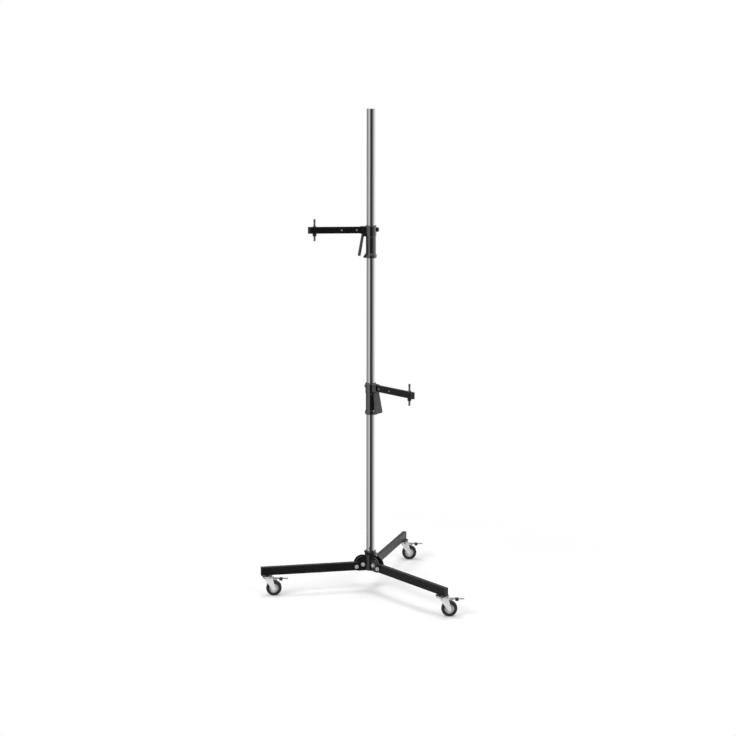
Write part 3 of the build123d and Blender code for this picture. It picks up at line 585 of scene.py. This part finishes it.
def makeSprings(place):
    # A helix of wire on each side of the lug, its ends tangent to the coil.
    look = clampLook
    centre, axis = middleOf(f"{place}_lever_pin"), np.array(joints[f"{place}_lever_squeeze"]["axis"])
    turnTo = outward(clampPlaces[place])
    room = 3.55 * mm
    angle = np.linspace(0, 2 * np.pi * look["springTurns"], 130)
    meshes = []
    for side in (-1, 1):
        travel = side * (look["lugHalf"] + look["springWire"] + (room - 2 * look["springWire"]) * angle / angle[-1])
        coil = np.stack([look["springRadius"] * np.cos(angle), look["springRadius"] * np.sin(angle), travel], -1)
        path = placed(coil, centre, axis, turnTo)
        meshes.append(meshFromGrid("coil", tube(path, look["springWire"], 10), wrapColumns=True))
    addPiece(f"{place}_spring_coils", joinMeshes("coils", meshes), f"{place}_clamp", finish["darkSteel"],
             [f"{place}_lever_springs"], 60.0)


def makeStud(place):
    # Lower end: a screw thread, its radius a triangle wave of height less angle. Upper end: a plain spigot with a waist.
    look = clampLook
    low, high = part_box(f"{place}_stud")
    armLow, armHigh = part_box(f"{place}_arm_tube")
    r = look["studRadius"]
    threadTop = low.z + look["threadLength"]
    rows = np.arange(low.z + 0.2 * mm, threadTop, look["threadPitch"] / 8)
    flange = armHigh.z
    profile = np.vstack([
        [[0.0, low.z], [r - 1.0 * mm, low.z]],
        np.stack([np.full(len(rows), r), rows], -1),
        [[r, threadTop + 0.5 * mm], [r, flange - 0.1 * mm], [look["flangeRadius"] - 0.4 * mm, flange],
         [look["flangeRadius"], flange + 0.4 * mm], [look["flangeRadius"], flange + look["flangeHeight"] - 0.5 * mm],
         [look["flangeRadius"] - 0.5 * mm, flange + look["flangeHeight"]], [r, flange + look["flangeHeight"]],
         [r, high.z - 24.0 * mm], [r - look["waist"], high.z - 22.5 * mm], [r - look["waist"], high.z - 16.5 * mm],
         [r, high.z - 15.0 * mm], [r, high.z - 0.9 * mm]],
        arcPoints((r - 0.9 * mm, high.z - 0.9 * mm), 0.9 * mm, 20, 90, 4),
        [[0.0, high.z]],
    ])

    def thread(radius, height, angle):
        turn = (height - low.z) / look["threadPitch"] - angle / (2 * np.pi)
        cut = look["threadDepth"] * np.abs(2 * (turn - np.floor(turn)) - 1)
        fade = np.clip((threadTop - height) / (2 * mm), 0, 1) * np.clip((height - low.z) / (0.1 * mm), 0, 1)
        return radius - np.where(radius > r * 0.95, cut * fade, 0), height

    points = lathe(profile, 72, thread)
    middle = middleOf(f"{place}_stud")
    points = points + np.array([middle[0], middle[1], 0.0])
    addPiece(f"{place}_lamp_stud", meshFromGrid("stud", points, wrapColumns=True), f"{place}_clamp",
             finish["studSteel"], [f"{place}_stud"], 40.0)


def gripWave(outer, depth, ribs):
    # Finger grip: near the outer radius the surface follows a sharpened cosine of the angle.
    def wave(radius, height, angle):
        near = np.clip((radius - outer * 0.72) / (outer * 0.28), 0, 1)
        return radius - near * depth * (0.5 + 0.5 * np.cos(angle * ribs)) ** 2, height
    return wave


def makeStudNut(place):
    look = clampLook
    low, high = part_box(f"{place}_stud_nut")
    r, bore, edge = look["nutRadius"], look["studRadius"] + 0.05 * mm, 1.4 * mm
    profile = np.vstack([
        [[bore, low.z + 0.6 * mm], [bore + 0.6 * mm, low.z]],
        [[r * 0.62, low.z]], arcPoints((r - edge, low.z + edge), edge, -90, 0, 6),
        np.stack([np.full(5, r), np.linspace(low.z + edge, high.z - edge, 7)[1:-1]], -1),
        arcPoints((r - edge, high.z - edge), edge, 0, 90, 6),
        [[r * 0.62, high.z], [bore + 0.6 * mm, high.z], [bore, high.z - 0.6 * mm]],
    ])
    points = lathe(profile, look["nutRibs"] * 8, gripWave(r, look["nutGrip"], look["nutRibs"]))
    middle = middleOf(f"{place}_stud")
    points = points + np.array([middle[0], middle[1], 0.0])
    addPiece(f"{place}_grip_nut", meshFromGrid("nut", points, True, True), f"{place}_nut",
             finish["blackPlastic"], [f"{place}_stud_nut"], 50.0)


def makeTensionKnob(place):
    # A domed cap: straight grip band, then a quarter ellipse to the crown. The screw goes in behind.
    look = clampLook
    joint = joints[f"{place}_tension_turn"]
    axis = np.array(joint["axis"])
    node = nodes[f"{place}_tension_knob"]
    points = np.array([vertex.co for vertex in node.data.vertices])
    depth = (points - np.array(joint["pos_m"])) @ axis
    start, end = 0.3 * mm, depth.max()
    r, screw, band = look["knobRadius"], 4.0 * mm, 5.0 * mm
    bend = np.radians(np.linspace(0, 88, 14))
    dome = np.stack([2.2 * mm + (r - 2.2 * mm) * np.cos(bend), start + band + (end - start - band) * np.sin(bend)], -1)
    profile = np.vstack([
        [[0.0, depth.min()], [screw - 0.6 * mm, depth.min()], [screw, depth.min() + 0.6 * mm], [screw, start]],
        [[r - 1.0 * mm, start], [r - 0.3 * mm, start + 0.3 * mm], [r, start + 1.0 * mm]],
        np.stack([np.full(4, r), np.linspace(start + 1.8 * mm, start + band - 0.5 * mm, 4)], -1),
        dome, [[0.0, end]],
    ])
    surface = lathe(profile, look["knobRibs"] * 8, gripWave(r, look["knobGrip"], look["knobRibs"]))
    addPiece(f"{place}_grip_knob", meshFromGrid("knob", placed(surface, joint["pos_m"], axis), wrapColumns=True),
             f"{place}_knob", finish["blackPlastic"], [f"{place}_tension_knob"], 50.0)


for place in clampPlaces:
    makeSprings(place)
    makeStud(place)
    makeStudNut(place)
    makeTensionKnob(place)
print("clamp details made")


# CAD nodes that keep their shape and get rounded edges

roundings = {
    "hub_casting": 0.7 * mm, "wing_screw": 0.8 * mm, "pivot_fasteners": 0.4 * mm, "caster_plate": 0.4 * mm,
    "caster_fork": 0.5 * mm, "fork_pins": 0.4 * mm, "brake_pedal": 0.4 * mm, "pedal_cap": 0.4 * mm,
    "arm_cap": 0.3 * mm, "squeeze_lever": 0.4 * mm, "lever_pin": 0.3 * mm,
}
for name in sorted(nodes):
    kind = name.split("_", 1)[1] if name.split("_")[0] in (*legPlaces, *clampPlaces) else name
    if kind in roundings:
        refined(name, "finished", roundings[kind], nodeFinish[name])

legFastenerLook = {"bevel": 0.35 * mm, "hubReach": 200.0 * mm}     # nearer than this is the lock bolt
for place in legPlaces:
    name, reach = f"{place}_leg_fasteners", legFastenerLook["hubReach"]
    refined(name, "lock_bolt", legFastenerLook["bevel"], finish["brightBolt"],
            keep=lambda point: point.xy.length < reach)
    # The caster bolts take a dark zinc that is painted shade from the leg over them.
    refined(name, "caster_bolts", legFastenerLook["bevel"], finish["darkZincAndPaintedShade"],
            keep=lambda point: point.xy.length > reach)
print("CAD pieces finished")


# Studio: floor, world, lamps and camera

studio = {
    "turn": 19.3,                      # degrees from the camera's heading to the stand's +Y
    "floorRadius": 1.6, "fadeStart": 0.55, "floorColour": 0.86,
    "ambient": 0.62, "overhead": 0.95, "below": 0.35,
    "lamps": [                         # place about the stand in the camera's frame: azimuth, distance, height, size, power
        {"name": "softboxLeft", "azimuth": 215.0, "distance": 3.2, "height": 2.9, "size": 1.6, "power": 62.0},
        {"name": "softboxRight", "azimuth": 318.0, "distance": 3.4, "height": 2.4, "size": 1.4, "power": 40.0},
        {"name": "overheadBox", "azimuth": 90.0, "distance": 0.8, "height": 4.2, "size": 2.2, "power": 60.0},
    ],
}


def addRamp(tree, stops, source):
    made = addNode(tree, "ValToRGB")
    ramp = made.color_ramp
    while len(ramp.elements) < len(stops):
        ramp.elements.new(0.5)
    for element, (position, value) in zip(ramp.elements, stops):
        element.position = position
        element.color = (value, value, value, 1.0)
    tree.links.new(source, made.inputs["Fac"])
    return made.outputs["Color"]


def makeFloor():
    # A disc whose grid is radius by angle. Its own colour fades to plain white before its edge.
    radius = np.linspace(0, studio["floorRadius"], 24)[:, None]
    angle = np.linspace(0, 2 * np.pi, 96, endpoint=False)[None, :]
    points = np.stack([radius * np.cos(angle), radius * np.sin(angle), 0 * radius * angle], -1)
    mesh = meshFromGrid("floor", points, wrapColumns=True)
    tidyMesh(mesh)
    floor = bpy.data.objects.new("floor", mesh)
    scene.collection.objects.link(floor)
    material = bpy.data.materials.new("paleFloor")
    material.use_nodes = True
    tree = material.node_tree
    tree.nodes.clear()
    output = addNode(tree, "OutputMaterial")
    paint = addNode(tree, "BsdfDiffuse")
    paint.inputs["Color"].default_value = (studio["floorColour"],) * 3 + (1.0,)
    white = addNode(tree, "Emission")
    place = addNode(tree, "TexCoord")
    length = addNode(tree, "VectorMath", {"operation": "LENGTH"})
    tree.links.new(place.outputs["Object"], length.inputs[0])
    fade = addNode(tree, "MapRange", {"interpolation_type": "SMOOTHSTEP"})
    fade.inputs["From Min"].default_value = studio["fadeStart"]
    fade.inputs["From Max"].default_value = studio["floorRadius"] * 0.96
    tree.links.new(length.outputs["Value"], fade.inputs["Value"])
    path = addNode(tree, "LightPath")
    seen = math2(tree, "MAXIMUM", path.outputs["Is Camera Ray"],
                 math2(tree, "MAXIMUM", path.outputs["Is Glossy Ray"], path.outputs["Is Transmission Ray"]))
    share = math2(tree, "MULTIPLY", fade.outputs["Result"], seen)
    mixed = addNode(tree, "MixShader")
    tree.links.new(share, mixed.inputs["Fac"])
    tree.links.new(paint.outputs[0], mixed.inputs[1])
    tree.links.new(white.outputs[0], mixed.inputs[2])
    tree.links.new(mixed.outputs[0], output.inputs["Surface"])
    floor.data.materials.append(material)
    floor.visible_glossy = False       # gloss sees the pale room below it instead, without the floor's edge
    return floor


def makeWorld():
    # What the gloss sees all round the stand, by heading: pale walls, a dark gap at the camera and another behind.
    headings = [(-180, 0.42), (-145, 0.54), (-128, 0.66), (-117, 0.60), (-109, 0.03), (-76, 0.03), (-62, 0.06),
                (-50, 0.20), (-30, 0.35), (0, 0.70), (20, 0.95), (70, 1.0), (82, 0.12), (98, 0.12), (104, 0.6),
                (112, 0.26), (160, 0.24), (176, 0.32), (180, 0.42)]
    world = bpy.data.worlds.new("studioWorld")
    world.use_nodes = True
    tree = world.node_tree
    tree.nodes.clear()
    output = addNode(tree, "OutputWorld")
    background = addNode(tree, "Background")
    place = addNode(tree, "TexCoord")
    turned = addNode(tree, "Mapping")
    turned.inputs["Rotation"].default_value = (0.0, 0.0, math.radians(-studio["turn"]))
    tree.links.new(place.outputs["Generated"], turned.inputs["Vector"])
    round_ = addNode(tree, "TexGradient", {"gradient_type": "RADIAL"})
    tree.links.new(turned.outputs["Vector"], round_.inputs["Vector"])
    walls = addRamp(tree, [((azimuth + 180) / 360, value) for azimuth, value in headings], round_.outputs["Fac"])
    parts = addNode(tree, "SeparateXYZ")
    tree.links.new(place.outputs["Generated"], parts.inputs[0])
    up = addNode(tree, "MapRange", {"interpolation_type": "SMOOTHSTEP"})
    up.inputs["From Min"].default_value, up.inputs["From Max"].default_value = 0.45, 0.85
    tree.links.new(parts.outputs["Z"], up.inputs["Value"])
    down = addNode(tree, "MapRange", {"interpolation_type": "SMOOTHSTEP"})
    down.inputs["From Min"].default_value, down.inputs["From Max"].default_value = 0.5, 0.9
    tree.links.new(math2(tree, "MULTIPLY", parts.outputs["Z"], -1.0), down.inputs["Value"])
    seen = mixColours(tree, up.outputs["Result"], walls, (studio["overhead"],) * 3)
    seen = mixColours(tree, down.outputs["Result"], seen, (studio["below"],) * 3)
    path = addNode(tree, "LightPath")
    gloss = math2(tree, "MAXIMUM", path.outputs["Is Glossy Ray"], path.outputs["Is Transmission Ray"])
    soft = (studio["ambient"],) * 3
    colour = mixColours(tree, gloss, soft, seen)
    colour = mixColours(tree, path.outputs["Is Camera Ray"], colour, (1.0, 1.0, 1.0))
    tree.links.new(colour, background.inputs["Color"])
    tree.links.new(background.outputs[0], output.inputs["Surface"])
    scene.world = world


def turnedPoint(azimuth, distance, height):
    angle = math.radians(azimuth + studio["turn"])
    return Vector((distance * math.cos(angle), distance * math.sin(angle), height))


def makeLamps():
    for settings in studio["lamps"]:
        light = bpy.data.lights.new(settings["name"], "AREA")
        light.shape, light.size, light.energy = "DISK", settings["size"], settings["power"]
        lamp = bpy.data.objects.new(settings["name"], light)
        scene.collection.objects.link(lamp)
        lamp.location = turnedPoint(settings["azimuth"], settings["distance"], settings["height"])
        lamp.rotation_euler = (Vector((0.0, 0.0, 0.9)) - lamp.location).to_track_quat("-Z", "Y").to_euler()
        lamp.visible_glossy = False


photoCamera = {"distance": 6.6436, "height": 2.2525, "yaw": -0.111, "pitch": 10.195, "roll": 0.05, "lens": 71.948}


def makeCamera():
    view = {key: math.radians(photoCamera[key]) for key in ("yaw", "pitch", "roll")}
    forward = Vector((math.sin(view["yaw"]) * math.cos(view["pitch"]),
                      math.cos(view["yaw"]) * math.cos(view["pitch"]), -math.sin(view["pitch"])))
    right = Vector((math.cos(view["yaw"]), -math.sin(view["yaw"]), 0.0))
    up = right.cross(forward)
    tilted = right * math.cos(view["roll"]) + up * math.sin(view["roll"])
    up = up * math.cos(view["roll"]) - right * math.sin(view["roll"])
    lens = bpy.data.cameras.new("photoCamera")
    lens.lens, lens.sensor_width = photoCamera["lens"], 36.0
    lens.clip_end = 100.0
    camera = bpy.data.objects.new("photoCamera", lens)
    scene.collection.objects.link(camera)
    axes = Matrix((tilted, up, -forward)).transposed().to_4x4()
    place = Matrix.Translation((0.0, -photoCamera["distance"], photoCamera["height"]))
    camera.matrix_world = Matrix.Rotation(math.radians(studio["turn"]), 4, "Z") @ place @ axes
    scene.camera = camera


makeFloor()
makeWorld()
makeLamps()
makeCamera()
scene.view_settings.view_transform = "Standard"
print("studio set")
